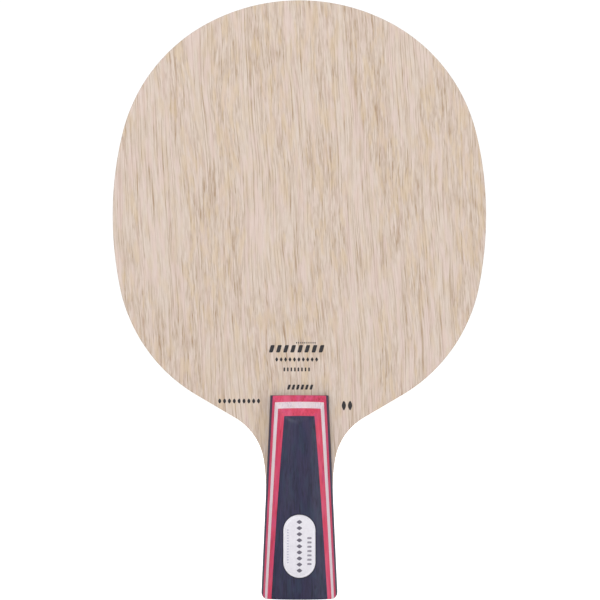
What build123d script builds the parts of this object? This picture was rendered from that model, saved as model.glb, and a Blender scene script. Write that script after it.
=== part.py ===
from build123d import *
from math import atan, cos, degrees, radians, sin
import os

# A table tennis blade of the penhold kind, without rubber sheets: a seven-layer head whose tang
# runs down the handle, and a short carved scale glued to each side of the tang. Each scale is
# cut from a stack of dyed veneers, so its sloping end and rounded sides show them as a frame.
#
# Frame: origin at the middle of the butt, +Z towards the head, +X across it, front towards -Y.
# Plane.XZ faces the front, so a distance offset from it is a height above the blade's middle.

# Head, all in millimetres
head_length = 158.6             # from the end of the scales to the top of the head
head_width = 150.0
widest_above_scales = 72.4      # from the end of the scales to the head's widest line
corner_radius = 68.2            # between the crown and the sides of the head
crown_turn = 28.1               # degrees that the crown turns, from the middle to the corner
corner_turn = 48.0
lower_side_turn = 11.5          # degrees that each side turns below the widest line
shoulder_radius = 65.0
wing_angle = 59.5               # degrees between the straight wing and the length of the blade
neck_below_scales = 17.0        # where the wings would meet the handle, below the scale ends
neck_radius = 24.0              # where the wing bends down into the neck
neck_turn = 50.0                # degrees that the neck turns at that radius
tail_radius = 69.0              # where the neck runs out into the handle's side

# Plies, from the middle outwards
core_thickness = 2.7            # soft light wood
inner_thickness = 0.7           # cross-grained wood on each side of the core
carbon_thickness = 0.15         # woven carbon tape under each face
face_thickness = 0.6            # fine-grained face wood
seat_height = 0.1               # face wood left unsanded under each scale

# Scales
scale_length = 81.5
butt_width = 30.8
end_width = 23.4
butt_crown = 9.4                # height of a scale above its seat, at the butt
end_crown = 7.2                 # the same at the head end, before the end is sloped
butt_corner_radius = 2.6        # corners of the butt, seen from the front
butt_edge_radius = 0.5          # rounding of the scales' butt edge
end_face_height = 3.0           # height of the square end face under the slope
end_slope = 0.42                # rise of the sloping end for each millimetre of length
end_slope_radius = 450.0        # crowning across the sloping end
end_bow_radius = 1200.0         # slight bow of the end, seen from the front

# Veneers of a scale, from the blade outwards; the top layer is what is left above them
veneers = {"base": 2.95, "outer_red": 1.13, "white": 1.06, "inner_red": 1.28}

# Badge in the front scale
badge_length = 25.3
badge_width = 12.8
badge_thickness = 0.5
badge_bevel = 0.12
badge_height = 21.3             # of its middle above the butt
adhesive_thickness = 0.15
adhesive_inset = 0.3            # the pad is this much smaller all round than the badge
pocket_depth = 1.35             # of the pocket's floor below the crown of the scale
pocket_clearance = 0.25         # all round the badge

# Sizes that follow from these
total_length = scale_length + head_length
widest_height = scale_length + widest_above_scales
neck_height = scale_length - neck_below_scales
half_core = core_thickness / 2
inner_level = half_core + inner_thickness
carbon_level = inner_level + carbon_thickness
face_level = carbon_level + face_thickness
seat_level = face_level + seat_height
side_taper = (butt_width - end_width) / 2 / scale_length
crown_taper = (butt_crown - end_crown) / scale_length
past_everything = 2 * total_length


def handle_half_width(height):
    """Half the width of the handle at a height above the butt: its sides are straight."""
    return butt_width / 2 - side_taper * height


def crown_height(height):
    """Height of a scale's ridge above its seat, at a height above the butt."""
    return butt_crown - crown_taper * height


def solve_pair(first_a, first_b, second_a, second_b, total_a, total_b):
    """Solve first_a * p + second_a * q = total_a and first_b * p + second_b * q = total_b."""
    determinant = first_a * second_b - second_a * first_b
    p = (total_a * second_b - second_a * total_b) / determinant
    q = (first_a * total_b - total_a * first_b) / determinant
    return p, q


# The crown, the corner and the side of the head are arcs that run on smoothly from each other.
# They turn through a right angle, and together they span half the head's width and its rise
# above the widest line, which settles the radii of the crown and of the side.
crown_end = radians(crown_turn)
corner_end = radians(crown_turn + corner_turn)
head_rise = total_length - widest_height
crown_radius, upper_side_radius = solve_pair(
    sin(crown_end), 1 - cos(crown_end),
    1 - sin(corner_end), cos(corner_end),
    head_width / 2 - corner_radius * (sin(corner_end) - sin(crown_end)),
    head_rise - corner_radius * (cos(crown_end) - cos(corner_end)),
)

# Below the widest line, the side and the shoulder are arcs and the wing is straight. The wing
# aims at a point of the handle's side, which settles the side's radius and the wing's length.
side_end = radians(lower_side_turn)
wing_end = radians(wing_angle)
lower_side_radius, wing_length = solve_pair(
    1 - cos(side_end), sin(side_end),
    sin(wing_end), cos(wing_end),
    head_width / 2 - handle_half_width(neck_height) - shoulder_radius * (cos(side_end) - cos(wing_end)),
    widest_height - neck_height - shoulder_radius * (sin(wing_end) - sin(side_end)),
)

# The neck and its tail are arcs too, which lead from the wing into the handle's side. The wing
# is cut short by what they need to turn through the angle between the two.
neck_angle = wing_end + atan(side_taper)
tail_turn = neck_angle - radians(neck_turn)
neck_drop = neck_radius * (cos(tail_turn) - cos(neck_angle))
tail_drop = tail_radius * (1 - cos(tail_turn))
wing_cut = (neck_drop + tail_drop) / sin(neck_angle)

# Outline of the blade, head and tang in one
with BuildSketch() as blade_outline:
    with BuildLine():
        crown = JernArc((0, total_length), (1, 0), crown_radius, -crown_turn)
        corner = JernArc(crown @ 1, crown % 1, corner_radius, -corner_turn)
        upper_side = JernArc(corner @ 1, corner % 1, upper_side_radius, crown_turn + corner_turn - 90)
        lower_side = JernArc(upper_side @ 1, upper_side % 1, lower_side_radius, -lower_side_turn)
        shoulder = JernArc(lower_side @ 1, lower_side % 1, shoulder_radius, lower_side_turn - wing_angle)
        wing = PolarLine(shoulder @ 1, wing_length - wing_cut, direction=shoulder % 1)
        neck = JernArc(wing @ 1, wing % 1, neck_radius, neck_turn)
        tail = JernArc(neck @ 1, neck % 1, tail_radius, degrees(tail_turn))
        Line(tail @ 1, (butt_width / 2, 0))
        mirror(about=Plane.YZ)
        Line((-butt_width / 2, 0), (butt_width / 2, 0))
    make_face()
    butt_corners = vertices().group_by(Axis.Y)[0]
    fillet(butt_corners, butt_corner_radius)

# Outline of a scale where it meets the blade
with BuildSketch() as seat_outline:
    with BuildLine():
        Polyline(
            (-butt_width / 2, 0),
            (-end_width / 2, scale_length),
            (end_width / 2, scale_length),
            (butt_width / 2, 0),
            close=True,
        )
    make_face()
    with Locations((0, scale_length - end_bow_radius)):
        Circle(end_bow_radius, mode=Mode.INTERSECT)
    butt_corners = vertices().group_by(Axis.Y)[0]
    fillet(butt_corners, butt_corner_radius)

# What is trimmed off a scale to round the butt's corners: a strip along the butt, less the seat
with BuildSketch() as corner_trim:
    Rectangle(2 * butt_width, 2 * butt_corner_radius)
    add(seat_outline.sketch, mode=Mode.SUBTRACT)


def finish(piece, node):
    """Label a finished piece and write it to its own file."""
    piece.part.label = node
    export_step(piece.part, f"parts/{node}.step")


os.makedirs("parts", exist_ok=True)

# Core ply, in the middle of the blade
with BuildPart() as core_ply:
    with BuildSketch(Plane.XZ):
        add(blade_outline.sketch)
    extrude(amount=half_core, both=True)
finish(core_ply, "core_ply")

# Plies outside the core, on each side of it
with BuildPart() as front_inner_ply:
    with BuildSketch(Plane.XZ.offset(half_core)):
        add(blade_outline.sketch)
    extrude(amount=inner_thickness)

with BuildPart() as front_carbon_ply:
    with BuildSketch(Plane.XZ.offset(inner_level)):
        add(blade_outline.sketch)
    extrude(amount=carbon_thickness)

# The face ply is sanded down after the scales are glued on, which leaves it a little thicker
# under them
with BuildPart() as front_face_ply:
    with BuildSketch(Plane.XZ.offset(carbon_level)):
        add(blade_outline.sketch)
    extrude(amount=face_thickness)
    with BuildSketch(Plane.XZ.offset(face_level)):
        add(seat_outline.sketch)
    extrude(amount=seat_height)

# A whole scale before it is taken apart into its veneers: half an ellipse across, carried
# in straight lines from the butt to the head end
with BuildPart() as scale_block:
    for height in (0, scale_length):
        with BuildSketch(Plane.XY.offset(height)):
            with BuildLine():
                ridge = EllipticalCenterArc(
                    (0, -seat_level), handle_half_width(height), crown_height(height), 180, arc_size=180
                )
                Line(ridge @ 1, ridge @ 0)
            make_face()
    loft(ruled=True)
    butt_edge = edges().filter_by(Plane.XY).group_by(Axis.Z)[0].sort_by(Axis.Y)[0]
    fillet(butt_edge, butt_edge_radius)
    with BuildSketch(Plane.XZ):
        add(corner_trim.sketch)
    extrude(amount=past_everything, mode=Mode.SUBTRACT)
    # the slightly bowed end
    with BuildSketch(Plane.XZ):
        with Locations((0, scale_length - end_bow_radius)):
            Circle(end_bow_radius)
    extrude(amount=past_everything, mode=Mode.INTERSECT)
    # the sloping end, a little crowned across
    slope_start = Plane(
        origin=(0, -seat_level - end_face_height, scale_length),
        x_dir=(1, 0, 0),
        z_dir=(0, end_slope, 1),
    )
    with BuildSketch(slope_start):
        with Locations((0, end_slope_radius)):
            Circle(end_slope_radius)
    extrude(amount=past_everything, both=True, mode=Mode.INTERSECT)

# The front scale has a pocket for the badge. Its floor lies parallel to the ridge.
pocket_floor = Plane(
    origin=(0, -seat_level - crown_height(badge_height) + pocket_depth, badge_height),
    x_dir=(1, 0, 0),
    z_dir=(0, -1, crown_taper),
)
with BuildPart() as front_block:
    add(scale_block.part)
    with BuildSketch(pocket_floor):
        SlotOverall(
            badge_length + 2 * pocket_clearance, badge_width + 2 * pocket_clearance, rotation=90
        )
    extrude(amount=past_everything, mode=Mode.SUBTRACT)

# Badge, stuck to the pocket's floor
with BuildPart() as badge_adhesive:
    with BuildSketch(pocket_floor):
        SlotOverall(
            badge_length - 2 * adhesive_inset, badge_width - 2 * adhesive_inset, rotation=90
        )
    extrude(amount=adhesive_thickness)
finish(badge_adhesive, "badge_adhesive")

with BuildPart() as badge_plate:
    with BuildSketch(pocket_floor.offset(adhesive_thickness)):
        SlotOverall(badge_length, badge_width, rotation=90)
    extrude(amount=badge_thickness)
    badge_rim = faces().sort_by(Axis.Y)[0].edges()
    chamfer(badge_rim, badge_bevel)
finish(badge_plate, "badge_plate")


def veneer_layers(block):
    """Slice a scale into its veneers, from the blade outwards."""
    layers = {}
    level = seat_level
    for colour, thickness in veneers.items():
        with BuildPart() as veneer:
            add(block.part)
            split(bisect_by=Plane.XZ.offset(level), keep=Keep.TOP)
            split(bisect_by=Plane.XZ.offset(level + thickness), keep=Keep.BOTTOM)
        layers[f"scale_{colour}"] = veneer
        level += thickness
    with BuildPart() as top:
        add(block.part)
        split(bisect_by=Plane.XZ.offset(level), keep=Keep.TOP)
    layers["scale_top"] = top
    return layers


# The plies and veneers of the front, and those of the back, which are their mirror images
outer_plies = {
    "inner_ply": front_inner_ply,
    "carbon_ply": front_carbon_ply,
    "face_ply": front_face_ply,
}
for name, piece in {**outer_plies, **veneer_layers(front_block)}.items():
    finish(piece, f"front_{name}")

for name, piece in {**outer_plies, **veneer_layers(scale_block)}.items():
    with BuildPart() as back_piece:
        mirror(piece.part, about=Plane.XZ)
    finish(back_piece, f"back_{name}")
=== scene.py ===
from math import pi, radians

import bmesh
import bpy
import numpy as np
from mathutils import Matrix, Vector


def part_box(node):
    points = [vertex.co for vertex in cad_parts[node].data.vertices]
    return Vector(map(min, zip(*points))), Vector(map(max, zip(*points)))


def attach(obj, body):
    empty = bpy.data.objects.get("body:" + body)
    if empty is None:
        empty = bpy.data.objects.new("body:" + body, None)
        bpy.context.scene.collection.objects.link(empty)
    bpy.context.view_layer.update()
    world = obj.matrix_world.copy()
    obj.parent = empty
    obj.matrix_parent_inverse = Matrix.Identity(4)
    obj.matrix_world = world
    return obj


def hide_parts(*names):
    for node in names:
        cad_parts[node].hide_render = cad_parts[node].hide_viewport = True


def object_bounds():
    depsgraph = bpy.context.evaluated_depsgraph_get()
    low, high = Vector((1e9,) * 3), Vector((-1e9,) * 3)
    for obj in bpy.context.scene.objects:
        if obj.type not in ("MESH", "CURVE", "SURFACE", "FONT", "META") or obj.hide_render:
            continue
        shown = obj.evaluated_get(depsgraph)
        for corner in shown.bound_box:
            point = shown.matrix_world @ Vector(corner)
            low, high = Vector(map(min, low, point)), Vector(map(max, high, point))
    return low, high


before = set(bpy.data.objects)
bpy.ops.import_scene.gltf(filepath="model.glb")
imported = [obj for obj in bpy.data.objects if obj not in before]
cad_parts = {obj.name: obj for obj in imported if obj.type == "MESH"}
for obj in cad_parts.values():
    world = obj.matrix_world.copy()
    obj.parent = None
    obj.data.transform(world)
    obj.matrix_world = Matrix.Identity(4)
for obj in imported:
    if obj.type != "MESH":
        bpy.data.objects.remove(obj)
cad_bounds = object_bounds()

bl_info = {
    "name": "Table tennis paddle",
    "version": (1, 0, 0),
    "blender": (4, 5, 0),
    "location": "3D View > Sidebar > Paddle",
    "description": "Builds a bare penhold blade: plies, carved scales, badge and stage",
    "category": "Object",
}

# The blade stands on its butt: +Z runs up to the head, +X across it, and the front faces -Y.
# Shapes are worked out in millimetres, as seen from the front: x across, z up, and a height
# above the blade's middle, which is a distance towards -Y at the front and +Y at the back.
MM = 0.001
FRONT = -1
SIDES = {"front": FRONT, "back": 1}


def box_mm(node):
    """Lowest and highest corner of a CAD node, in millimetres."""
    low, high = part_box(node)
    return np.array(low) / MM, np.array(high) / MM


def level_range(node):
    """Lowest and highest height of a front node above the blade's middle."""
    low, high = box_mm(node)
    return -high[1], -low[1]


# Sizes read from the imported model
TOTAL_LENGTH = cad_bounds[1].z / MM
HEAD_WIDTH = 2 * cad_bounds[1].x / MM
FACE_BOTTOM, SEAT_LEVEL = level_range("front_face_ply")
SCALE_LENGTH = box_mm("front_scale_base")[1][2]
BADGE_LOW, BADGE_HIGH = box_mm("badge_plate")
BADGE_MIDDLE = (BADGE_LOW[2] + BADGE_HIGH[2]) / 2

# Head outline: arcs that run on from each other, with the angles that they turn in degrees
WIDEST_HEIGHT = 153.9
CORNER_RADIUS = 68.2
CROWN_TURN = 28.1
CORNER_TURN = 48.0
LOWER_SIDE_TURN = 11.5
SHOULDER_RADIUS = 65.0
WING_ANGLE = 59.5
NECK_HEIGHT = 64.5
NECK_RADIUS = 24.0
NECK_TURN = 50.0
TAIL_RADIUS = 69.0             # where the neck runs out into the handle's side

# Scales
SEAT_STEP = 0.1                # face wood left standing under each scale
BUTT_HALF = 15.4
END_HALF = 11.7
BUTT_CROWN = 9.4
END_CROWN = 7.2
BUTT_CORNER = 2.6
BUTT_EDGE = 0.5
END_FACE = 3.0
END_SLOPE = 0.42
SLOPE_RADIUS = 450.0
BOW_RADIUS = 1200.0
END_EASING = 0.25              # of the edge between the end face and the slope
MITRE_EASING = 0.22            # of the edges between the sloping end and the sides
CREST_FADE = 0.03              # share of the way over a scale in which its crest gets rounded
RIDGE_MIDDLE = 37.0            # of the line along the back scale's ridge
RIDGE_REACH = 27.0             # of that line, up and down from its middle

# Veneers of a scale from the blade outwards: finish and material slot
VENEERS = {
    "base": ("navy", "navy_veneer"),
    "outer_red": ("outer_red", "red_veneer"),
    "white": ("white", "white_veneer"),
    "inner_red": ("inner_red", "red_veneer"),
}

# Badge and its pocket
POCKET_DEPTH = 1.35
POCKET_CLEARANCE = 0.25
POCKET_EASING = 0.14
PAD_THICKNESS = 0.15
BADGE_TOP = 0.65               # of its edge above the pocket's floor
ENAMEL_SINK = 0.02             # of an enamel mark's foot below the badge's surface
ENAMEL_HEIGHT = 0.045          # of a mark from its foot to its top

# Head's edge
NECK_EASING = 0.03             # radius left of the edge's easing beside the scales
EASING_FADE = (1, 9)           # heights above the scales between which it grows to the full one
EDGE_ROW = 0.12                # from the eased edge to the next row of the flat face

# Print
INK_SINK = 0.005               # of a printed mark's foot below the wood's surface

# Pieces are merged where their points are this near, and shorter edges are dropped, in metres
MERGE_DISTANCE = 2e-7
SHORTEST_EDGE = 1e-8

FACE_LEVEL = SEAT_LEVEL - SEAT_STEP
SIDE_TAPER = (BUTT_HALF - END_HALF) / SCALE_LENGTH
CROWN_TAPER = (BUTT_CROWN - END_CROWN) / SCALE_LENGTH
BADGE_RADIUS = (BADGE_HIGH[0] - BADGE_LOW[0]) / 2
BADGE_STRAIGHT = (BADGE_HIGH[2] - BADGE_LOW[2]) / 2 - BADGE_RADIUS


# ---- formulas of the shapes

def half_width(z):
    """Half the handle's width at height z: it narrows in a straight line from the butt."""
    return BUTT_HALF - SIDE_TAPER * z


def crown(z):
    """Height of a scale's ridge above its seat at height z."""
    return BUTT_CROWN - CROWN_TAPER * z


def soft_min(a, b, softness):
    """The smaller of a and b, rounded off where they differ by less than the softness.

    It is min(a, b) - max(k - |a - b|, 0)^2 / (4 k), with k the softness.
    """
    k = np.maximum(softness, 1e-9)
    return np.minimum(a, b) - np.maximum(k - np.abs(a - b), 0) ** 2 / (4 * k)


def smooth_step(low, high, value):
    """Rises smoothly from 0 at low to 1 at high: 3 t^2 - 2 t^3."""
    t = np.clip((value - low) / (high - low), 0, 1)
    return t * t * (3 - 2 * t)


def round_over(z, radius):
    """How far a rounded edge of that radius has dropped at a distance z inside the edge.

    It is radius - sqrt(radius^2 - (radius - z)^2), and 0 further in.
    """
    inside = np.clip(radius - z, 0, radius)
    return radius - np.sqrt(radius ** 2 - inside ** 2)


def side_x(z, h):
    """Where a scale's side is at height z and h above the seat.

    Across, a scale is half an ellipse: x = half width * sqrt(1 - (h / crown)^2). The butt's edge
    is rounded over, and the butt's corners are cut to an arc as seen from the front.
    """
    share = np.clip((h + round_over(z, BUTT_EDGE)) / crown(z), 0, 1)
    ellipse = half_width(z) * np.sqrt(1 - share ** 2)
    return np.minimum(ellipse, half_width(z) - round_over(z, BUTT_CORNER))


def end_z(x, h):
    """Where a scale's head end is, x from its middle and h above the seat.

    The end face is bowed, z = length - x^2 / (2 * bow radius). Above it the end slopes back, and
    that slope is crowned across: h = end face + slope * (length - z) - x^2 / (2 * slope radius).
    """
    face = SCALE_LENGTH - x ** 2 / (2 * BOW_RADIUS)
    slope = SCALE_LENGTH - (h - END_FACE + x ** 2 / (2 * SLOPE_RADIUS)) / END_SLOPE
    return soft_min(face, slope, END_EASING)


def scale_height(x, z, softness):
    """Height of a scale above its seat: the lower of its elliptical back and its sloping end.

    The crest between them is rounded by the softness, and the butt's edge is rounded over.
    """
    share = np.clip(np.abs(x) / half_width(z), 0, 1)
    back = crown(z) * np.sqrt(1 - share ** 2)
    slope = END_FACE + END_SLOPE * (SCALE_LENGTH - z) - x ** 2 / (2 * SLOPE_RADIUS)
    return soft_min(back, slope, softness) - round_over(z, BUTT_EDGE)


def pocket_floor(z):
    """Height of the badge pocket's floor above the seat: it lies parallel to the ridge."""
    return crown(BADGE_MIDDLE) - POCKET_DEPTH - CROWN_TAPER * (z - BADGE_MIDDLE)


def blade_runs():
    """Runs of the blade's outline, from the top of the head to the butt's corner.

    Each is a radius, the angle that it turns clockwise, and its number of steps. A straight run
    has no turn, and its length stands in the place of the radius. The radii that aren't given
    follow from the head's width and height, and the wing's length from where the neck begins.
    """
    crown_end = radians(CROWN_TURN)
    corner_end = radians(CROWN_TURN + CORNER_TURN)
    side_end = radians(LOWER_SIDE_TURN)
    wing_end = radians(WING_ANGLE)
    upper = np.array([
        [np.sin(crown_end), 1 - np.sin(corner_end)],
        [1 - np.cos(crown_end), np.cos(corner_end)],
    ])
    upper_span = [
        HEAD_WIDTH / 2 - CORNER_RADIUS * (np.sin(corner_end) - np.sin(crown_end)),
        TOTAL_LENGTH - WIDEST_HEIGHT - CORNER_RADIUS * (np.cos(crown_end) - np.cos(corner_end)),
    ]
    crown_radius, upper_radius = np.linalg.solve(upper, upper_span)
    lower = np.array([
        [1 - np.cos(side_end), np.sin(wing_end)],
        [np.sin(side_end), np.cos(wing_end)],
    ])
    lower_span = [
        HEAD_WIDTH / 2 - half_width(NECK_HEIGHT)
        - SHOULDER_RADIUS * (np.cos(side_end) - np.cos(wing_end)),
        WIDEST_HEIGHT - NECK_HEIGHT
        - SHOULDER_RADIUS * (np.sin(wing_end) - np.sin(side_end)),
    ]
    lower_radius, wing_length = np.linalg.solve(lower, lower_span)

    side_heading = np.arctan(SIDE_TAPER)
    neck_angle = wing_end + side_heading
    tail_turn = neck_angle - radians(NECK_TURN)
    neck_drop = NECK_RADIUS * (np.cos(tail_turn) - np.cos(neck_angle))
    tail_drop = TAIL_RADIUS * (1 - np.cos(tail_turn))
    wing_cut = (neck_drop + tail_drop) / np.sin(neck_angle)
    neck_run = NECK_RADIUS * (np.sin(neck_angle) - np.sin(tail_turn))
    tail_end = neck_run + TAIL_RADIUS * np.sin(tail_turn) - wing_cut * np.cos(neck_angle)
    butt_turn = radians(90) + side_heading
    butt_tangent = BUTT_CORNER * np.tan(butt_turn / 2)
    side_length = NECK_HEIGHT / np.cos(side_heading) - tail_end - butt_tangent

    return (
        (crown_radius, crown_end, 26),
        (CORNER_RADIUS, radians(CORNER_TURN), 40),
        (upper_radius, radians(90 - CROWN_TURN - CORNER_TURN), 22),
        (lower_radius, side_end, 22),
        (SHOULDER_RADIUS, wing_end - side_end, 36),
        (wing_length - wing_cut, 0, 8),
        (-NECK_RADIUS, -radians(NECK_TURN), 24),
        (-TAIL_RADIUS, -tail_turn, 12),
        (side_length, 0, 36),
        (BUTT_CORNER, butt_turn, 8),
    )


def blade_half():
    """Half the blade's outline and its outward normals, from the top of the head to the butt.

    Along an arc of radius r that has turned by a from heading h, a point is
    start + r * (sin h - sin(h - a), cos(h - a) - cos h).
    """
    start, heading = np.array([0.0, TOTAL_LENGTH]), 0.0
    points, headings = [start[None]], [np.array([0.0])]
    for size, turn, steps in blade_runs():
        share = np.linspace(0, 1, steps + 1)[1:]
        now = heading - turn * share
        if turn:
            across, down = np.sin(heading) - np.sin(now), np.cos(now) - np.cos(heading)
            run = np.stack([across, down], 1) * size
        else:
            run = np.outer(share, (np.cos(heading), np.sin(heading))) * size
        points.append(start + run)
        headings.append(now)
        start, heading = start + run[-1], heading - turn
    heading = np.concatenate(headings)
    return np.concatenate(points), np.stack([-np.sin(heading), np.cos(heading)], 1)


def scale_half(levels):
    """Half of a scale's outline at each level, from the middle of its head end to the butt.

    The end line and the side line meet in a corner, found by putting each into the other, and
    the corner is rounded by a curve between the points a little before and after it.
    """
    h = np.asarray(levels, float)[:, None]
    corner = np.full_like(h, SCALE_LENGTH)
    for _ in range(12):
        corner = end_z(side_x(corner, h), h)
    corner_x = side_x(corner, h)

    end_x = (corner_x - MITRE_EASING) * np.sin(np.linspace(0, pi / 2, 19))
    end_line = np.stack([end_x, end_z(end_x, h)], -1)

    # even steps down the side, and then closer ones around the butt's edge
    near_butt = np.array([3.4, 2.6, 2.1, 1.8, 1.5, 1.15, 0.85, 0.6, 0.42, 0.28, 0.15, 0.06, 0.0])
    side_top = corner - MITRE_EASING
    upper_z = side_top + (near_butt[0] - side_top) * np.linspace(0, 1, 111)
    lower_z = np.broadcast_to(near_butt[1:], (len(h), len(near_butt) - 1))
    side_z = np.concatenate([upper_z, lower_z], 1)
    side_line = np.stack([side_x(side_z, h), side_z], -1)

    t = np.linspace(0, 1, 7)[1:-1, None]
    before, after = end_line[:, -1:], side_line[:, :1]
    tip = np.stack([corner_x, corner], -1)
    bend = (1 - t) ** 2 * before + 2 * t * (1 - t) * tip + t ** 2 * after
    return np.concatenate([end_line, bend, side_line], 1)


# ---- grids and meshes

def place(plan, height, side):
    """Turns x and z of the plan, and heights above the blade's middle, into places in metres."""
    parts = np.broadcast_arrays(plan[..., 0], side * np.asarray(height), plan[..., 1])
    return np.stack(parts, -1) * MM


def rows_across(half, steps):
    """Straight rows from each point of a half outline to its mirror image."""
    x = half[..., :1] * np.linspace(1, -1, steps + 1)
    return np.stack(np.broadcast_arrays(x, half[..., 1:]), -1)


def plate(halves, levels, side, steps=24):
    """Closed plate whose half outline is given at each of its levels, from its inner face outwards.

    Its walls are the half outlines and their mirror images, its faces are rows across the
    first and last outline, and its butt is rows across the ends of the outlines.
    """
    mirrored = halves * (-1, 1)
    return [
        place(halves, levels, side),
        place(mirrored, levels, side),
        place(rows_across(halves[0], steps), levels[0][:, None], side),
        place(rows_across(halves[-1], steps), levels[-1][:, None], side),
        place(rows_across(halves[:, -1], steps), levels[:, -1:], side),
    ]


def grid_faces(rows, columns):
    """Four-sided faces between the neighbouring points of a grid."""
    at = np.arange(rows * columns).reshape(rows, columns)
    return np.stack([at[:-1, :-1], at[1:, :-1], at[1:, 1:], at[:-1, 1:]], -1).reshape(-1, 4)


def make_piece(name, grids, material, crease=35):
    """Joins grids of points into one piece: merged where they meet, and facing outwards."""
    points = np.concatenate([grid.reshape(-1, 3) for grid in grids])
    sizes = [grid.shape[0] * grid.shape[1] for grid in grids]
    starts = np.cumsum([0] + sizes[:-1])
    faces = [grid_faces(*grid.shape[:2]) + start for grid, start in zip(grids, starts)]
    mesh = bpy.data.meshes.new(name)
    mesh.from_pydata(points.tolist(), [], np.concatenate(faces).tolist())
    work = bmesh.new()
    work.from_mesh(mesh)
    bmesh.ops.remove_doubles(work, verts=work.verts, dist=MERGE_DISTANCE)
    bmesh.ops.dissolve_degenerate(work, edges=work.edges, dist=SHORTEST_EDGE)
    bmesh.ops.recalc_face_normals(work, faces=work.faces)
    work.to_mesh(mesh)
    work.free()
    mesh.shade_smooth()
    mesh.set_sharp_from_angle(angle=radians(crease))
    mesh.materials.append(material)
    piece = bpy.data.objects.new(name, mesh)
    bpy.context.scene.collection.objects.link(piece)
    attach(piece, "root")
    return piece


# ---- nodes

class Tree:
    """A node tree with short ways to add its nodes. Each returns the socket that it makes."""

    def __init__(self, tree):
        self.tree = tree

    def link(self, value, socket):
        """Links a socket to another one, or sets that one to a plain value."""
        if isinstance(value, bpy.types.NodeSocket):
            self.tree.links.new(value, socket)
        else:
            socket.default_value = value

    def node(self, kind, inputs=None, **settings):
        """Adds a node, sets its properties, and links or fills its inputs."""
        made = self.tree.nodes.new(kind)
        for name, value in settings.items():
            setattr(made, name, value)
        for key, value in (inputs or {}).items():
            self.link(value, made.inputs[key])
        return made

    def math(self, operation, a, b=0.0, clamp=False):
        made = self.node("ShaderNodeMath", {0: a, 1: b}, operation=operation, use_clamp=clamp)
        return made.outputs[0]

    def product(self, value, *others):
        for other in others:
            value = self.math("MULTIPLY", value, other)
        return value

    def vector(self, operation, a, b):
        return self.node("ShaderNodeVectorMath", {0: a, 1: b}, operation=operation).outputs[0]

    def noise(self, vector, scale=1.0, detail=2.0, roughness=0.5):
        inputs = {"Vector": vector, "Scale": scale, "Detail": detail, "Roughness": roughness}
        return self.node("ShaderNodeTexNoise", inputs).outputs[0]

    def ease(self, value, low, high, to_low=0.0, to_high=1.0):
        """Goes smoothly from one value to another while the given one goes from low to high."""
        inputs = {"Value": value, "From Min": low, "From Max": high,
                  "To Min": to_low, "To Max": to_high}
        return self.node("ShaderNodeMapRange", inputs, interpolation_type="SMOOTHSTEP").outputs[0]

    def mix(self, share, a, b):
        """A colour that goes from a to b by the share."""
        made = self.node("ShaderNodeMix", data_type="RGBA")
        colours = [socket for socket in made.inputs if socket.type == "RGBA"]
        for value, socket in ((share, made.inputs[0]), (a, colours[0]), (b, colours[1])):
            self.link(value, socket)
        return next(socket for socket in made.outputs if socket.type == "RGBA")

    def object_place(self, location=(0, 0, 0), rotation=(0, 0, 0)):
        """Object coordinates, moved and turned."""
        coordinates = self.node("ShaderNodeTexCoord").outputs["Object"]
        inputs = {"Vector": coordinates, "Location": location, "Rotation": rotation}
        return self.node("ShaderNodeMapping", inputs).outputs[0]

    def in_millimetres(self, place):
        return self.vector("MULTIPLY", place, (1 / MM, 1 / MM, 1 / MM))


def new_group(name, inputs, outputs):
    """An empty shader node group with the named inputs and outputs."""
    group = bpy.data.node_groups.new(name, "ShaderNodeTree")
    for labels, direction in ((inputs, "INPUT"), (outputs, "OUTPUT")):
        for label, kind in labels.items():
            group.interface.new_socket(label, in_out=direction, socket_type=kind)
    tree = Tree(group)
    given = tree.node("NodeGroupInput").outputs
    result = tree.node("NodeGroupOutput").inputs
    return group, tree, given, result


FLOAT = "NodeSocketFloat"
COLOUR = "NodeSocketColor"
VECTOR = "NodeSocketVector"

# The grain wanders by two noises. Each has its scale across the grain and along it, per
# millimetre, and the quick one bends the grain less, by this share.
SLOW_WANDER = (1 / 34, 1 / 34, 1 / 62)
QUICK_WANDER = (1 / 9, 1 / 9, 1 / 24)
QUICK_SHARE = 0.22

# Sets of streaks: the size across the grain and along it, the noise at which a streak begins
# and at which it is full, and an offset that tells the sets apart. Zones and bands have their
# sizes in millimetres, and the others as shares of the fibres' width and length.
ZONES = (9.0, 70.0, 0.42, 0.58, 8.9)
BANDS = (4.5, 170.0, 0.3, 0.7, 23.9)
FIBRES = (1.0, 1.0, 0.42, 0.66, 3.1)
FINE_FIBRES = (0.8, 0.5, 0.4, 0.66, 17.3)
LONG_PORES = (0.85, 3.6, 0.51, 0.66, 77.7)
FLECKS = (0.9, 0.6, 0.54, 0.68, 41.7)
TINT_PATCHES = (4.0, 1.0, 0.48, 0.64, 61.1)
BLUSH_PATCHES = (5.0, 1.5, 0.46, 0.64, 96.3)
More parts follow.
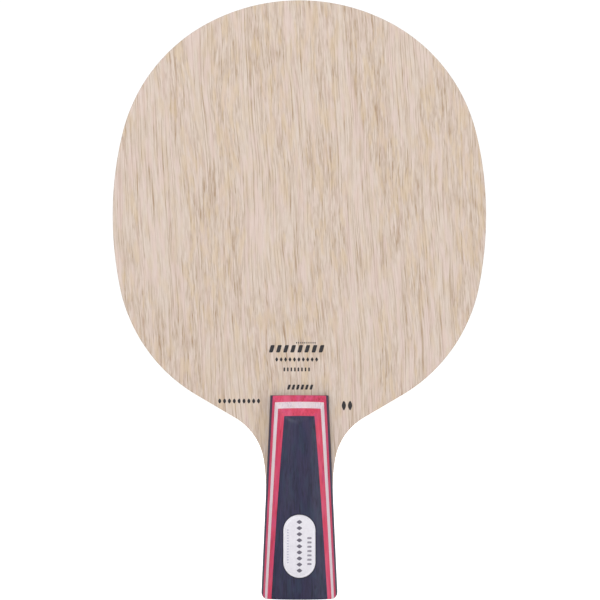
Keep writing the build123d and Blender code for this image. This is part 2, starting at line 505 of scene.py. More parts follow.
# The figure of each kind of wood: sizes in millimetres, and strengths from 0 to 1
FACE_FIGURE = {"Fibre Width": 0.51, "Fibre Length": 9.5, "Fibres": 0.4, "Long Streaks": 0.68,
               "Flecks": 0.35, "Bands": 0.02, "Tinting": 0.5}
INNER_FIGURE = {**FACE_FIGURE, "Fibre Width": 0.35, "Fibre Length": 7.0}
CORE_FIGURE = {**FACE_FIGURE, "Fibre Width": 0.45, "Fibre Length": 8.0}
DYED_FIGURE = {"Fibre Width": 0.6, "Fibre Length": 9.0, "Fibres": 0.35, "Long Streaks": 0.25,
               "Flecks": 0.5, "Bands": 0.25, "Tinting": 0.5}
WOOD_COLOURS = ("Pale", "Streak", "Tint", "Blush")
OFF_ZONE = 0.5                 # strength that a set keeps outside the zones where it is full
FINE_SHARE = 0.8               # strength of the fine fibres beside the others
FIBRE_RELIEF = -0.35           # height of a fibre's streak, where a fleck is a hollow of 1


def grain_flow_group():
    """Places on the wood in millimetres, bent so that the grain leans and wanders.

    x becomes x + lean * z + wander * (slow noise - 1/2) + a share of wander * (quick noise - 1/2).
    """
    if "grain_flow" in bpy.data.node_groups:
        return bpy.data.node_groups["grain_flow"]
    group, tree, given, result = new_group(
        "grain_flow", {"Vector": VECTOR, "Lean": FLOAT, "Wander": FLOAT}, {"Vector": VECTOR})
    place_mm = tree.in_millimetres(given["Vector"])
    slow = tree.noise(tree.vector("MULTIPLY", place_mm, SLOW_WANDER), detail=1.5)
    quick = tree.noise(tree.vector("MULTIPLY", place_mm, QUICK_WANDER), detail=1.0)
    slow_bend = tree.product(tree.math("SUBTRACT", slow, 0.5), given["Wander"])
    quick_bend = tree.product(
        tree.math("SUBTRACT", quick, 0.5), tree.product(given["Wander"], QUICK_SHARE))
    height = tree.node("ShaderNodeSeparateXYZ", {0: place_mm}).outputs["Z"]
    bend = tree.math("ADD", tree.math("ADD", slow_bend, quick_bend),
                     tree.product(height, given["Lean"]))
    shift = tree.node("ShaderNodeCombineXYZ", {"X": bend}).outputs[0]
    tree.link(tree.vector("ADD", place_mm, shift), result["Vector"])
    return group


def streaks_group():
    """Streaks along the grain: noise that is squeezed across the grain and drawn out along it."""
    if "grain_streaks" in bpy.data.node_groups:
        return bpy.data.node_groups["grain_streaks"]
    inputs = {"Vector": VECTOR, "Across": FLOAT, "Along": FLOAT, "Low": FLOAT, "High": FLOAT,
              "Set": FLOAT}
    group, tree, given, result = new_group("grain_streaks", inputs, {"Fac": FLOAT})
    across, along, offset = given["Across"], given["Along"], given["Set"]
    stretch = tree.node("ShaderNodeCombineXYZ", {"X": across, "Y": across, "Z": along}).outputs[0]
    shift = tree.node("ShaderNodeCombineXYZ", {"X": offset, "Y": offset, "Z": offset}).outputs[0]
    where = tree.vector("ADD", tree.vector("DIVIDE", given["Vector"], stretch), shift)
    fac = tree.ease(tree.noise(where, detail=2.0, roughness=0.55), given["Low"], given["High"])
    tree.link(fac, result["Fac"])
    return group


def streaks(tree, vector, shape, width=None, length=None):
    """Places one set of streaks, sized by the fibres' width and length where they are given."""
    across, along, low, high, offset = shape
    if width is not None:
        across, along = tree.product(width, across), tree.product(length, along)
    inputs = {"Vector": vector, "Across": across, "Along": along,
              "Low": low, "High": high, "Set": offset}
    return tree.node("ShaderNodeGroup", inputs, node_tree=streaks_group()).outputs["Fac"]


def wood_figure_group():
    """Figure of a veneer: fibres, long pores, dark flecks, slow bands and two tints.

    Each is a set of streaks. Fibres, flecks and the tint are strong in some zones, and the long
    pores and the blush in the others. The colour goes from the pale wood to the streak colour
    by the sum of the fibres, pores, flecks and bands, and then part of the way to the tints.
    """
    if "wood_figure" in bpy.data.node_groups:
        return bpy.data.node_groups["wood_figure"]
    inputs = {"Vector": VECTOR, **dict.fromkeys(WOOD_COLOURS, COLOUR),
              **dict.fromkeys(FACE_FIGURE, FLOAT)}
    group, tree, given, result = new_group(
        "wood_figure", inputs, {"Color": COLOUR, "Flecks": FLOAT, "Height": FLOAT})
    place_mm = given["Vector"]
    fibre = given["Fibre Width"], given["Fibre Length"]
    zones = streaks(tree, place_mm, ZONES)
    bands = streaks(tree, place_mm, BANDS)
    fibres, fine, long, flecks, tint, blush = (
        streaks(tree, place_mm, shape, *fibre)
        for shape in (FIBRES, FINE_FIBRES, LONG_PORES, FLECKS, TINT_PATCHES, BLUSH_PATCHES)
    )
    figured = tree.ease(zones, 0.0, 1.0, OFF_ZONE, 1.0)
    plain = tree.ease(zones, 0.0, 1.0, 1.0, OFF_ZONE)
    zoned = tree.product(flecks, figured)
    lines = tree.math("ADD", fibres, tree.product(fine, FINE_SHARE))
    lines = tree.product(lines, given["Fibres"], figured)
    pores = tree.product(long, given["Long Streaks"], plain)
    dark = tree.math("ADD", lines, pores)
    dark = tree.math("ADD", dark, tree.product(zoned, given["Flecks"]))
    dark = tree.math("ADD", dark, tree.product(bands, given["Bands"]), clamp=True)
    colour = tree.mix(dark, given["Pale"], given["Streak"])
    colour = tree.mix(tree.product(tint, figured, given["Tinting"]), colour, given["Tint"])
    colour = tree.mix(tree.product(blush, plain, given["Tinting"]), colour, given["Blush"])
    height = tree.math("SUBTRACT", tree.product(fibres, FIBRE_RELIEF), zoned)
    tree.link(colour, result["Color"])
    tree.link(zoned, result["Flecks"])
    tree.link(height, result["Height"])
    return group


# ---- materials

# Depths of relief, in metres
WOOD_RELIEF = 0.06 * MM
VENEER_RELIEF = 0.04 * MM
METAL_RELIEF = 0.03 * MM
FILM_RELIEF = 0.02 * MM


def srgb(*values):
    """Linear colour of sRGB values from 0 to 255."""
    v = np.array(values) / 255
    return tuple(np.where(v <= 0.04045, v / 12.92, ((v + 0.055) / 1.055) ** 2.4))


def new_material(name):
    """A material with only a Principled BSDF, its tree and its output."""
    material = bpy.data.materials.new(name)
    material.use_nodes = True
    return material, Tree(material.node_tree), material.node_tree.nodes["Principled BSDF"]


def set_surface(tree, shader, colour, roughness, height, strength, depth):
    """Gives a shader its colour, its roughness, and a relief of that height and depth."""
    relief = tree.node(
        "ShaderNodeBump", {"Strength": strength, "Distance": depth, "Height": height})
    tree.link(colour, shader.inputs["Base Color"])
    tree.link(roughness, shader.inputs["Roughness"])
    tree.link(relief.outputs[0], shader.inputs["Normal"])


def wood_material(name, colours, figure, lean, wander, roughness, bump, location=(0, 0, 0),
                  rotation=(0, 0, 0), depth=WOOD_RELIEF, specular=0.35):
    """A veneer: the shared figure in its own colours, rougher and lower in the flecks.

    The four colours are those of the ground, the streaks, the tint and the blush. Several
    pieces use one veneer, so a material that is there already is given again.
    """
    if name in bpy.data.materials:
        return bpy.data.materials[name]
    material, tree, shader = new_material(name)
    flow = tree.node(
        "ShaderNodeGroup",
        {"Vector": tree.object_place(location, rotation), "Lean": lean, "Wander": wander},
        node_tree=grain_flow_group())
    inputs = {"Vector": flow.outputs["Vector"], **figure}
    for label, colour in zip(WOOD_COLOURS, colours):
        inputs[label] = (*colour, 1)
    wood = tree.node("ShaderNodeGroup", inputs, node_tree=wood_figure_group()).outputs
    rough = tree.ease(wood["Flecks"], 0.0, 1.0, *roughness)
    set_surface(tree, shader, wood["Color"], rough, wood["Height"], bump, depth)
    shader.inputs["Specular IOR Level"].default_value = specular
    return material


def set_colours(*names):
    """Colours of the settings, by name."""
    return [getattr(bpy.context.scene.paddle_colours, name) for name in names]


def face_wood():
    return wood_material(
        "face_wood_finish", set_colours("face_pale", "face_streak", "face_tint", "face_blush"),
        FACE_FIGURE, lean=0.055, wander=4.5, roughness=(0.52, 0.68), bump=0.3)


# Dyed veneers: colours, a place in the figure of their own, roughness and strength of relief
DYED_VENEERS = {
    "navy": (("navy", "navy_streak", "navy_tint", "navy_blush"),
             (0.11, 0, 0.07), (0.36, 0.48), 0.25),
    "outer_red": (("outer_red", "red_streak", "red_tint", "red_blush"),
                  (0.3, 0, 0.02), (0.38, 0.5), 0.2),
    "inner_red": (("inner_red", "red_streak", "red_tint", "red_blush"),
                  (0.4, 0, 0.12), (0.38, 0.5), 0.2),
    "white": (("white", "white_streak", "white_tint", "white_blush"),
              (0.5, 0, 0.22), (0.4, 0.52), 0.2),
}


def dyed_veneer(name):
    """A dyed veneer, whose grain runs straight."""
    colours, location, roughness, bump = DYED_VENEERS[name]
    return wood_material(
        f"{name}_finish", set_colours(*colours), DYED_FIGURE, lean=0.0, wander=1.2,
        roughness=roughness, bump=bump, location=location, depth=VENEER_RELIEF)


def inner_wood():
    """Cross-grained ply: its figure is turned to run across the blade."""
    colours = (srgb(216, 194, 158), srgb(178, 146, 104), srgb(205, 170, 128), srgb(212, 184, 156))
    return wood_material(
        "inner_wood_finish", colours, INNER_FIGURE, lean=0.02, wander=2.0,
        roughness=(0.62, 0.78), bump=0.35, rotation=(0, radians(90), 0), specular=0.25)


def core_wood():
    colours = (srgb(210, 184, 148), srgb(166, 132, 96), srgb(196, 160, 124), srgb(204, 172, 146))
    return wood_material(
        "core_wood_finish", colours, CORE_FIGURE, lean=0.03, wander=3.0,
        roughness=(0.66, 0.82), bump=0.4, location=(0, 0.2, 0.3), specular=0.25)


def carbon_edge():
    """Cut edge of the carbon tape: black, with paler fibre ends in bundles along the rim."""
    material, tree, shader = new_material("carbon_edge")
    place_mm = tree.in_millimetres(tree.object_place())
    bundles = tree.ease(tree.noise(place_mm, scale=0.8, detail=1.0), 0.42, 0.58)
    ends = tree.ease(tree.noise(place_mm, scale=9.0, detail=3.0), 0.35, 0.7)
    colour = tree.mix(
        tree.product(bundles, ends), (0.012, 0.012, 0.013, 1), (0.07, 0.07, 0.075, 1))
    set_surface(tree, shader, colour, tree.ease(bundles, 0, 1, 0.32, 0.55), ends, 0.4,
                METAL_RELIEF)
    return material


def badge_metal():
    """Pearly silver: fine grains that catch the light differently, over slow cloudy patches."""
    material, tree, shader = new_material("badge_finish")
    place_mm = tree.in_millimetres(tree.object_place())
    cells = tree.node("ShaderNodeTexVoronoi", {"Vector": place_mm, "Scale": 3.2}).outputs["Color"]
    grain = tree.node("ShaderNodeSeparateColor", {0: cells}).outputs[0]
    clouds = tree.noise(place_mm, scale=0.35, detail=2.0)
    share = tree.math("ADD", tree.product(grain, 0.45), tree.product(clouds, 0.55))
    shade, light = set_colours("badge_shade", "badge")
    set_surface(tree, shader, tree.mix(share, (*shade, 1), (*light, 1)),
                tree.ease(grain, 0, 1, 0.38, 0.55), grain, 0.25, METAL_RELIEF)
    shader.inputs["Metallic"].default_value = 0.3
    return material


def speckled_material(name, dark, light, scale, roughness, bump):
    """A matte film or pad with a fine speckle."""
    material, tree, shader = new_material(name)
    place_mm = tree.in_millimetres(tree.object_place())
    speckle = tree.noise(place_mm, scale=scale, detail=3.0, roughness=0.6)
    colour = tree.mix(tree.ease(speckle, 0.35, 0.65), (*dark, 1), (*light, 1))
    set_surface(tree, shader, colour, tree.ease(speckle, 0.3, 0.7, *roughness), speckle, bump,
                FILM_RELIEF)
    return material


# ---- settings

def length_property(name, description, default, low, high):
    return bpy.props.FloatProperty(
        name=name, description=description, default=default, min=low, max=high,
        subtype="DISTANCE", unit="LENGTH")


def power_property(name, description, default):
    return bpy.props.FloatProperty(
        name=name, description=description, default=default, min=0, max=200,
        subtype="POWER", unit="POWER")


def colour_property(name, description, *values):
    return bpy.props.FloatVectorProperty(
        name=name, description=description, subtype="COLOR", size=3, min=0, max=1,
        default=srgb(*values))


class PaddleSizes(bpy.types.PropertyGroup):
    """Sizes of the finish that don't change the blade's own size."""

    edge_easing: length_property(
        "Edge easing", "Radius sanded on the outer edge of the head",
        0.35 * MM, 0.05 * MM, 0.5 * MM)
    crest_softness: length_property(
        "Crest softness", "Rounding between a scale's back and its sloping end",
        0.4 * MM, 0.05 * MM, 2 * MM)
    badge_dome: length_property(
        "Badge dome", "How far the badge's middle rises above its edge",
        0.1 * MM, 0, 0.5 * MM)
    ink_thickness: length_property(
        "Ink thickness", "Height of the printed marks above the wood",
        0.025 * MM, 0.01 * MM, 0.2 * MM)


class PaddleColours(bpy.types.PropertyGroup):
    """Colours of the veneers, the badge and the ink."""

    face_pale: colour_property("Face wood", "Ground colour of the face plies", 218, 203, 191)
    face_streak: colour_property("Face streaks", "Dark streaks of the face plies", 173, 146, 121)
    face_tint: colour_property("Face tint", "Yellower patches of the face plies", 212, 189, 158)
    face_blush: colour_property("Face blush", "Pinker patches of the face plies", 220, 198, 192)
    navy: colour_property("Navy veneer", "Ground colour of the navy veneers", 50, 50, 81)
    navy_streak: colour_property("Navy streaks", "Streaks of the navy veneers", 28, 28, 48)
    navy_tint: colour_property("Navy tint", "Greener patches of the navy veneers", 46, 60, 80)
    navy_blush: colour_property("Navy blush", "Purple patches of the navy veneers", 66, 54, 84)
    inner_red: colour_property("Inner red veneer", "Red veneer next to the top layer", 220, 68, 98)
    # The outer red is the same red veneer as the inner red, tinted bluer: a painted bluish
    # reflection of the white surround on the scales' steep sides, over the veneer's own red
    outer_red: colour_property("Outer red veneer", "Red veneer next to the base", 218, 70, 107)
    red_streak: colour_property("Red streaks", "Streaks of the red veneers", 170, 44, 72)
    red_tint: colour_property("Red tint", "Purple patches of the red veneers", 200, 72, 124)
    red_blush: colour_property("Red blush", "Faded patches of the red veneers", 222, 98, 132)
    white: colour_property("White veneer", "Ground colour of the white veneer", 230, 215, 222)
    white_streak: colour_property("White streaks", "Streaks of the white veneer", 198, 180, 190)
    white_tint: colour_property("White tint", "Yellower patches of the white veneer", 220, 206, 200)
    white_blush: colour_property("White blush", "Pinker patches of the white veneer", 222, 196, 208)
    badge: colour_property("Badge", "Light grains of the badge", 240, 238, 244)
    badge_shade: colour_property("Badge shade", "Dull grains of the badge", 224, 221, 230)
    ink: colour_property("Ink", "Printed marks on the face", 26, 24, 28)


class PaddleStage(bpy.types.PropertyGroup):
    """Camera, light and floor."""

    camera_distance: length_property(
        "Camera distance", "From the camera to the middle of the blade", 1.5, 0.5, 6)
    frame_height: length_property(
        "Framed height", "Height that the picture takes in at the blade", 0.2414, 0.1, 1)
    key_power: power_property(
        "Key light", "Power of the large light at the upper left", 17.0)
    fill_power: power_property(
        "Fill light", "Power of the large light at the right", 10.6)
    surround: bpy.props.FloatProperty(
        name="Surround", description="Brightness of the white surround as a light",
        default=0.36, min=0, max=2)


# ---- operators

class PADDLE_OT_face_plies(bpy.types.Operator):
    """Make the two face plies, with their outer edge eased around the head"""

    bl_idname = "paddle.face_plies"
    bl_label = "Face plies"

    def execute(self, context):
        easing = context.scene.paddle_sizes.edge_easing / MM
        outline, normal = blade_half()
        # the easing fades out before the scales, where the edge was sanded with the handle
        fade = smooth_step(*(SCALE_LENGTH + np.array(EASING_FADE)), outline[:, 1])
        radius = NECK_EASING + (easing - NECK_EASING) * fade
        angle = np.linspace(0, pi / 2, 6)[:, None]
        # rows from the inner face's outline, over the eased edge, to one on the flat face
        inset = np.concatenate([
            0 * radius[None],
            radius * (1 - np.cos(angle)),
            radius[None] + EDGE_ROW,
        ])
        level = np.concatenate([
            0 * radius[None] + FACE_BOTTOM,
            FACE_LEVEL - radius * (1 - np.sin(angle)),
            0 * radius[None] + FACE_LEVEL,
        ])
        halves = outline - normal * inset[..., None]
        seat = np.repeat(scale_half([0.0]), 2, 0)
        seat_levels = np.repeat([[FACE_LEVEL], [SEAT_LEVEL]], seat.shape[1], 1)
        for name, side in SIDES.items():
            grids = plate(halves, level, side) + plate(seat, seat_levels, side, 6)
            piece = make_piece(f"{name}_face", grids, face_wood())
            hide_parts(f"{name}_face_ply")
        return {"FINISHED"}


class PADDLE_OT_inner_plies(bpy.types.Operator):
    """Finish the core, the cross-grained plies and the carbon tapes, which show at the rim"""

    bl_idname = "paddle.inner_plies"
    bl_label = "Inner plies"

    def execute(self, context):
        pad = speckled_material(
            "pad_rubber", srgb(28, 28, 32), srgb(44, 44, 50), 6.0, (0.6, 0.8), 0.3)
        finishes = (
            (core_wood(), "core_ply"),
            (inner_wood(), "front_inner_ply", "back_inner_ply"),
            (carbon_edge(), "front_carbon_ply", "back_carbon_ply"),
            (pad, "badge_adhesive"),
        )
        for material, *nodes in finishes:
            for node in nodes:
                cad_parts[node].material_slots[0].material = material
        return {"FINISHED"}


class PADDLE_OT_scales(bpy.types.Operator):
    """Make the two handle scales, each of five dyed veneers"""

    bl_idname = "paddle.scales"
    bl_label = "Handle scales"

    def execute(self, context):
        for colour, (finish, slot) in VENEERS.items():
            low, high = level_range(f"front_scale_{colour}")
            levels = np.linspace(low, high, 9) - SEAT_LEVEL
            halves = scale_half(levels)
            heights = np.repeat((levels + SEAT_LEVEL)[:, None], halves.shape[1], 1)
            for name, side in SIDES.items():
                grids = plate(halves, heights, side, 12)
                piece = make_piece(f"{name}_{colour}", grids, dyed_veneer(finish))
                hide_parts(f"{name}_scale_{colour}")
        for name, side in SIDES.items():
            piece = make_piece(f"{name}_top", self.top_layer(context, side), dyed_veneer("navy"))
            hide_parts(f"{name}_scale_top")
        return {"FINISHED"}

    def top_layer(self, context, side):
        """Loops from the layer's lower outline up the butt, inwards over its back, and closed.

        The lines between the outline and the inner curve are straight as seen from the front,
        and the height is that of the scale. At the front the inner curve is the rim of the
        badge's pocket, whose wall and floor follow. At the back it is a line along the ridge.
        """
        softness = context.scene.paddle_sizes.crest_softness / MM
        level = level_range("front_scale_top")[0] - SEAT_LEVEL
        half = scale_half([level])[0]
        butt = rows_across(half[-1:], 28)[0, 1:-1]
        ring = np.concatenate([half, butt, half[:0:-1] * (-1, 1), half[:1]])
        # shares of the way in from the outline, closer together near the edge
        share = np.concatenate([
            [0, 0.003, 0.007, 0.012, 0.018, 0.025, 0.033, 0.042, 0.052, 0.0635, 0.076],
            np.linspace(0.09, 1, 62),
        ])
        if side == FRONT:
            reach = BADGE_STRAIGHT
            rim = BADGE_RADIUS + POCKET_CLEARANCE + POCKET_EASING
            middle = BADGE_MIDDLE
        else:
            reach, rim, middle = RIDGE_REACH, 0.0, RIDGE_MIDDLE
        spine = np.stack([0 * ring[:, 0], np.clip(ring[:, 1], middle - reach, middle + reach)], 1)
        out = ring - spine
        out = out / np.linalg.norm(out, axis=1)[:, None]

        plans = [spine + (ring - spine) * c for c in (0, 0.5, 1)]
        heights = [np.full(len(ring), level)] * 3
        edge = scale_height(ring[:, 0], ring[:, 1], 0)
        for c in (0.25, 0.5, 0.75):
            plans.append(ring)
            heights.append(level + (edge - level) * c)
        for t in share:
            plan = ring + (spine + out * rim - ring) * t
            plans.append(plan)
            rounding = softness * min(1, t / CREST_FADE)
            heights.append(scale_height(plan[:, 0], plan[:, 1], rounding))
        if side == FRONT:
            rim_height = heights[-1]
            for angle in np.linspace(0, pi / 2, 5)[1:]:
                plans.append(spine + out * (rim - POCKET_EASING * np.sin(angle)))
                heights.append(rim_height - POCKET_EASING * (1 - np.cos(angle)))
            wall = rim - POCKET_EASING
            bottom = pocket_floor((spine + out * wall)[:, 1])
            top = heights[-1]
            for c in (0.5, 1):
                plans.append(spine + out * wall)
                heights.append(top + (bottom - top) * c)
            for c in (0.95, 0.5, 0):
                plan = spine + out * wall * c
                plans.append(plan)
                heights.append(pocket_floor(plan[:, 1]))
        return [place(np.array(plans), np.array(heights) + SEAT_LEVEL, side)]


def spread(number, pitch):
    """Evenly spaced places, as many to one side of 0 as to the other."""
    return (np.arange(number) - (number - 1) / 2) * pitch


def mark_shapes(x, z, wide, tall, power, lean=0.0):
    """Thin closed tiles whose outlines are superellipses: |x|^p + |z|^p = 1, stretched.

    Returns the plan of each tile as loops around its middle, and how far up each loop is, from
    0 at the bottom to 1 on top. A tile leans by x = x + lean * z.
    """
    x, z, wide, tall, power, lean = (
        value[:, None, None] for value in np.broadcast_arrays(x, z, wide, tall, power, lean))
    angle = np.linspace(0, 2 * pi, 33)
    angle[-1] = 0
    c, s = np.cos(angle), np.sin(angle)
    reach = (np.abs(c) ** power + np.abs(s) ** power) ** (-1.0 / power)
    size = np.array([0, 0.96, 1, 1, 0.97, 0.9, 0.5, 0])[:, None]
    rise = np.array([0, 0, 0.1, 0.6, 0.9, 1, 1, 1])[:, None]
    ring_x, ring_z = wide * reach * c * size, tall * reach * s * size
    plan = np.stack([x + ring_x + lean * ring_z, z + ring_z], -1)
    return plan, np.broadcast_to(rise, plan.shape[1:3])


# Columns of plain enamel marks on the badge: name, dark and light colour, x, height of the
# column's middle above the badge's, number, spacing, half width, half height and power
ENAMEL_COLUMNS = (
    ("badge_lozenges", (92, 88, 102), (112, 108, 122), 0, 0, 9, 2.42, 1.1, 0.8, 1.25),
    ("badge_bars", (134, 130, 142), (156, 152, 164), 4.0, -1.9, 7, 1.72, 0.85, 0.4, 6.0),
    ("badge_dots", (184, 182, 200), (200, 198, 214), -4.6, 0, 13, 1.08, 0.4, 0.28, 2.0),
)


class PADDLE_OT_badge(bpy.types.Operator):
    """Make the oblong silver badge with its engraved border, and the enamel marks on it"""

    bl_idname = "paddle.badge"
    bl_label = "Badge"

    def execute(self, context):
        dome = context.scene.paddle_sizes.badge_dome / MM
        # distance in from the edge and height above the pocket's floor, from the bottom's middle
        # up the side, over the eased edge, through the engraved border and in to the top's middle
        foot, top = PAD_THICKNESS, BADGE_TOP
        profile = np.array([
            (BADGE_RADIUS, foot), (0.08, foot), (0.02, foot + 0.02), (0, foot + 0.08),
            (0, top - 0.14), (0.02, top - 0.08), (0.07, top - 0.03), (0.14, top),
            (0.3, top), (0.62, top), (0.67, top - 0.02), (0.72, top - 0.05),
            (0.82, top - 0.05), (0.87, top - 0.02), (0.92, top), (1.1, top), (2.4, top),
            (4.0, top), (5.4, top), (BADGE_RADIUS, top),
        ])
        radius = BADGE_RADIUS - profile[:, 0]
        upper = profile[:, 1] > (foot + top) / 2
        height = profile[:, 1] + np.where(upper, dome * (1 - (radius / BADGE_RADIUS) ** 2), 0)
        turn = np.linspace(0, pi, 49)
        straight = np.linspace(BADGE_STRAIGHT, -BADGE_STRAIGHT, 17)[1:-1]
        spine = np.concatenate([
            0 * turn + BADGE_STRAIGHT, straight, 0 * turn - BADGE_STRAIGHT, -straight,
            [BADGE_STRAIGHT],
        ])
        angle = np.concatenate([
            turn - pi / 2, 0 * straight + pi / 2, turn + pi / 2, 0 * straight - pi / 2,
            [-pi / 2],
        ])
        x = radius[:, None] * np.sin(angle)
        z = BADGE_MIDDLE + spine + radius[:, None] * np.cos(angle)
        grid = place(np.stack([x, z], -1), SEAT_LEVEL + pocket_floor(z) + height[:, None], FRONT)
        piece = make_piece("badge", [grid], badge_metal(), crease=50)
        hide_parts("badge_plate")
        for column in ENAMEL_COLUMNS:
            self.enamel(dome, *column)
        return {"FINISHED"}

    def enamel(self, dome, name, dark, light, x, up, number, pitch, wide, tall, power):
        """A column of marks that stand a little proud of the badge's domed top."""
        plan, rise = mark_shapes(x, BADGE_MIDDLE + up + spread(number, pitch), wide, tall, power)
        surface = BADGE_TOP + dome * (1 - (np.abs(plan[..., 0]) / BADGE_RADIUS) ** 2)
        height = SEAT_LEVEL + pocket_floor(plan[..., 1]) + surface
        height = height - ENAMEL_SINK + rise * ENAMEL_HEIGHT
        finish = speckled_material(name, srgb(*dark), srgb(*light), 4.0, (0.35, 0.5), 0.1)
        make_piece(name, list(place(plan, height, FRONT)), finish)


# Rows of plain printed marks: x and z of the row's middle, number, spacing, half width, half
# height, power and lean
PRINTED_ROWS = (
    (2.6, 102.5, 10, 0.82, 0.2, 0.34, 3.0, 0.0),
    (-1.1, 100.1, 8, 2.85, 0.8, 1.5, 7.0, 0.28),
    (-1.1, 95.8, 10, 1.78, 0.58, 0.9, 1.25, 0.0),
    (-1.1, 91.8, 8, 1.42, 0.32, 0.78, 7.0, 0.0),
    (0.3, 84.7, 6, 1.8, 0.52, 1.0, 7.0, 0.28),
    (-24.2, 79.1, 9, 1.95, 0.62, 0.98, 1.5, 0.0),
    (19.1, 77.3, 2, 2.5, 0.85, 1.9, 1.5, 0.0),
)


class PADDLE_OT_printed_marks(bpy.types.Operator):
    """Print rows of plain shapes on the front face, where a blade carries its print"""

    bl_idname = "paddle.printed_marks"
    bl_label = "Printed marks"

    def execute(self, context):
        plans = []
        for x, z, number, pitch, *shape in PRINTED_ROWS:
            plan, rise = mark_shapes(x + spread(number, pitch), z, *shape)
            plans.append(plan)
        ink = context.scene.paddle_sizes.ink_thickness / MM
        height = FACE_LEVEL - INK_SINK + rise * (ink + INK_SINK)
        dark = np.array(context.scene.paddle_colours.ink)
        finish = speckled_material("print_ink", dark, 2.2 * dark, 5.0, (0.45, 0.7), 0.15)
        make_piece("printed_marks", list(place(np.concatenate(plans), height, FRONT)), finish)
        return {"FINISHED"}


# The stage, in metres: the floor's radius, the camera's place beside the blade's middle and
# above the butt, and the brightness of floor and surround as the camera sees them
FLOOR_RADIUS = 30
CAMERA_SIDE = 0.00024
CAMERA_HEIGHT = 0.11968
FLOOR_GLOW = 0.8
SURROUND_SEEN = 1.05
# Lights: the setting that gives the power, a share of it, size, and place from the middle
LIGHTS = {
    "key_light": ("key_power", 1.0, 1.1, (-0.75, -1.5, 0.9)),
    "fill_light": ("fill_power", 1.0, 1.3, (1.35, -1.3, 0.5)),
    "back_light": ("fill_power", 1.6, 1.3, (0.4, 1.5, 1.0)),
}


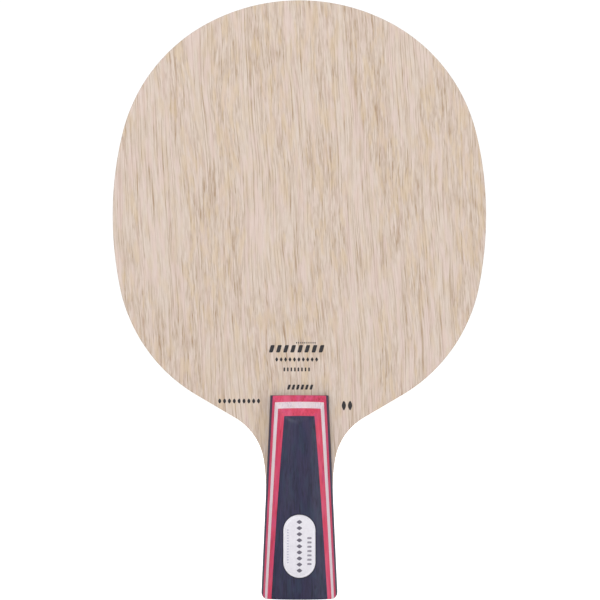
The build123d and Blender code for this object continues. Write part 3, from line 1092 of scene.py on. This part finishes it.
class PADDLE_OT_stage(bpy.types.Operator):
    """Set up the floor, the light and the camera"""

    bl_idname = "paddle.stage"
    bl_label = "Stage"

    def execute(self, context):
        scene = context.scene
        scene.view_settings.view_transform = "Standard"
        middle = (cad_bounds[0] + cad_bounds[1]) / 2
        self.floor(scene)
        self.surround(scene)
        self.lights(scene, middle)
        self.camera(scene, middle)
        return {"FINISHED"}

    def floor(self, scene):
        """A round white floor: rings further apart the further out they are."""
        radius = FLOOR_RADIUS * np.linspace(0, 1, 25)[:, None] ** 2
        angle = np.linspace(0, 2 * pi, 65)
        x, y = radius * np.cos(angle), radius * np.sin(angle)
        points = np.stack([x, y, 0 * x], -1)
        faces = grid_faces(*points.shape[:2])
        mesh = bpy.data.meshes.new("floor")
        mesh.from_pydata(points.reshape(-1, 3).tolist(), [], faces.tolist())
        material, tree, shader = new_material("floor_white")
        clouds = tree.noise(tree.object_place(), scale=3.0, detail=2.0)
        shade = tree.ease(clouds, 0.3, 0.7, 0.9, 0.92)
        tree.link(tree.mix(shade, (0, 0, 0, 1), (1, 1, 1, 1)), shader.inputs["Base Color"])
        shader.inputs["Roughness"].default_value = 0.9
        shader.inputs["Emission Color"].default_value = (1, 1, 1, 1)
        seen = tree.node("ShaderNodeLightPath").outputs["Is Camera Ray"]
        tree.link(tree.product(seen, FLOOR_GLOW), shader.inputs["Emission Strength"])
        mesh.materials.append(material)
        floor = bpy.data.objects.new("floor", mesh)
        scene.collection.objects.link(floor)

    def surround(self, scene):
        """A white surround, brighter as the camera sees it than as a light."""
        world = bpy.data.worlds.new("white_surround")
        scene.world = world
        world.use_nodes = True
        tree = Tree(world.node_tree)
        background = world.node_tree.nodes["Background"]
        seen = tree.node("ShaderNodeLightPath").outputs["Is Camera Ray"]
        strength = tree.node(
            "ShaderNodeMapRange",
            {"Value": seen, "To Min": scene.paddle_stage.surround, "To Max": SURROUND_SEEN},
        ).outputs[0]
        background.inputs["Color"].default_value = (1, 1, 1, 1)
        tree.link(strength, background.inputs["Strength"])

    def lights(self, scene, middle):
        """Large soft lights that face the middle of the blade."""
        for name, (power, share, size, away) in LIGHTS.items():
            lamp = bpy.data.lights.new(name, "AREA")
            lamp.energy = share * getattr(scene.paddle_stage, power)
            lamp.size = size
            light = bpy.data.objects.new(name, lamp)
            light.location = middle + Vector(away)
            light.rotation_mode = "QUATERNION"
            light.rotation_quaternion = Vector(away).to_track_quat("Z", "Y")
            light.visible_camera = False
            scene.collection.objects.link(light)

    def camera(self, scene, middle):
        """A camera square to the front that takes in the framed height."""
        distance = scene.paddle_stage.camera_distance
        lens = bpy.data.cameras.new("camera")
        lens.sensor_width = 36
        lens.lens = lens.sensor_width * distance / scene.paddle_stage.frame_height
        lens.clip_start, lens.clip_end = 0.05, 200
        camera = bpy.data.objects.new("camera", lens)
        camera.location = (CAMERA_SIDE, middle.y - distance, CAMERA_HEIGHT)
        camera.rotation_euler = (pi / 2, 0, 0)
        scene.collection.objects.link(camera)
        scene.camera = camera


class PADDLE_PT_panel(bpy.types.Panel):
    """Lists the settings and the steps that make the paddle"""

    bl_idname = "PADDLE_PT_panel"
    bl_label = "Paddle"
    bl_space_type = "VIEW_3D"
    bl_region_type = "UI"
    bl_category = "Paddle"

    def draw(self, context):
        scene = context.scene
        for group in (scene.paddle_sizes, scene.paddle_colours, scene.paddle_stage):
            box = self.layout.box()
            for name in group.__annotations__:
                box.prop(group, name)
        for operator in OPERATORS:
            self.layout.operator(operator.bl_idname)


GROUPS = {
    "paddle_sizes": PaddleSizes,
    "paddle_colours": PaddleColours,
    "paddle_stage": PaddleStage,
}
OPERATORS = (
    PADDLE_OT_stage,
    PADDLE_OT_face_plies,
    PADDLE_OT_inner_plies,
    PADDLE_OT_scales,
    PADDLE_OT_badge,
    PADDLE_OT_printed_marks,
)


def register():
    for kind in (*GROUPS.values(), *OPERATORS, PADDLE_PT_panel):
        bpy.utils.register_class(kind)
    for name, kind in GROUPS.items():
        setattr(bpy.types.Scene, name, bpy.props.PointerProperty(type=kind))


def unregister():
    for name in GROUPS:
        delattr(bpy.types.Scene, name)
    for kind in reversed((*GROUPS.values(), *OPERATORS, PADDLE_PT_panel)):
        bpy.utils.unregister_class(kind)


def main():
    register()
    bpy.ops.paddle.stage()
    bpy.ops.paddle.face_plies()
    bpy.ops.paddle.inner_plies()
    bpy.ops.paddle.scales()
    bpy.ops.paddle.badge()
    bpy.ops.paddle.printed_marks()


if __name__ == "__main__":
    main()
